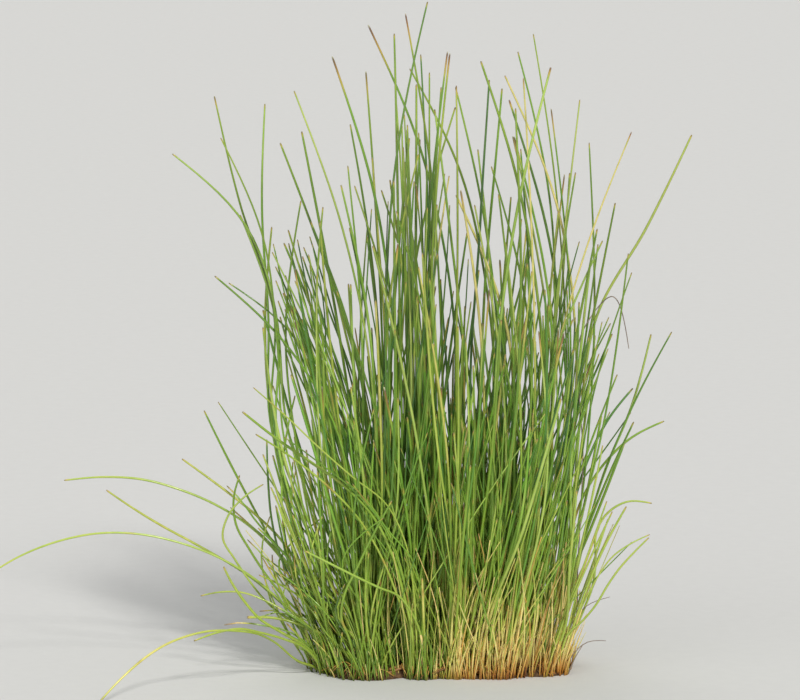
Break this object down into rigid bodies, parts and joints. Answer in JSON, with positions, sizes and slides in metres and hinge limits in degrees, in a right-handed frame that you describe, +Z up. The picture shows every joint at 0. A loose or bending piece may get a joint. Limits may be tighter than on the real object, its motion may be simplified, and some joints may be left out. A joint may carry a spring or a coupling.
{
  "type": "dwarf hairgrass plant",
  "caption": "Dense clump of hair-thin upright leafless stems with pointed tips, some arching far out, on a low crown cut off flat.",
  "frame": {"origin": "centre of the crown's flat cut underside, at ground level", "axes": "+Z up along the stems, +X to the right of the pictured side along the clump's longer way, -Y towards the viewer"},
  "size_m": [0.161, 0.0829, 0.1533],
  "materials": {
    "culm": "fresh green stems with a soft sheen, straw coloured at the foot of some",
    "dead_culm": "dry, grey brown, matt",
    "crown": "fibrous brown rhizomes and old sheaths, matt"
  },
  "bodies": {
    "root": {"crown": "crown", "long_left_culm": "culm", "flat_left_culm": "culm", "spreading_left_culm": "culm", "hooked_culm": "culm", "grounded_culm": "culm", "right_leaning_culm": "culm", "bent_right_culm": "culm", "curled_dead_culm": "dead_culm", "long_right_culm": "culm", "low_left_tuft": "culm", "bowed_left_tuft": "culm", "spreading_left_tuft": "culm", "leaning_front_tuft": "culm", "low_right_tuft": "culm", "outer_right_tuft": "culm", "tuft_01": "culm", "tuft_02": "culm", "tuft_03": "culm", "tuft_04": "culm", "tuft_05": "culm", "tuft_06": "culm", "tuft_07": "culm", "tuft_08": "culm", "tuft_09": "culm", "tuft_10": "culm", "tuft_11": "culm", "tuft_12": "culm", "tuft_13": "culm", "tuft_14": "culm", "tuft_15": "culm", "tuft_16": "culm", "tuft_17": "culm", "tuft_18": "culm", "tuft_19": "culm", "tuft_20": "culm", "tuft_21": "culm", "tuft_22": "culm", "tuft_23": "culm", "tuft_24": "culm", "tuft_25": "culm", "tuft_26": "culm", "tuft_27": "culm", "tuft_28": "culm", "tuft_29": "culm", "tuft_30": "culm", "tuft_31": "culm", "tuft_32": "culm", "tuft_33": "culm", "tuft_34": "culm", "tuft_35": "culm", "tuft_36": "culm"}
  },
  "joints": []
}
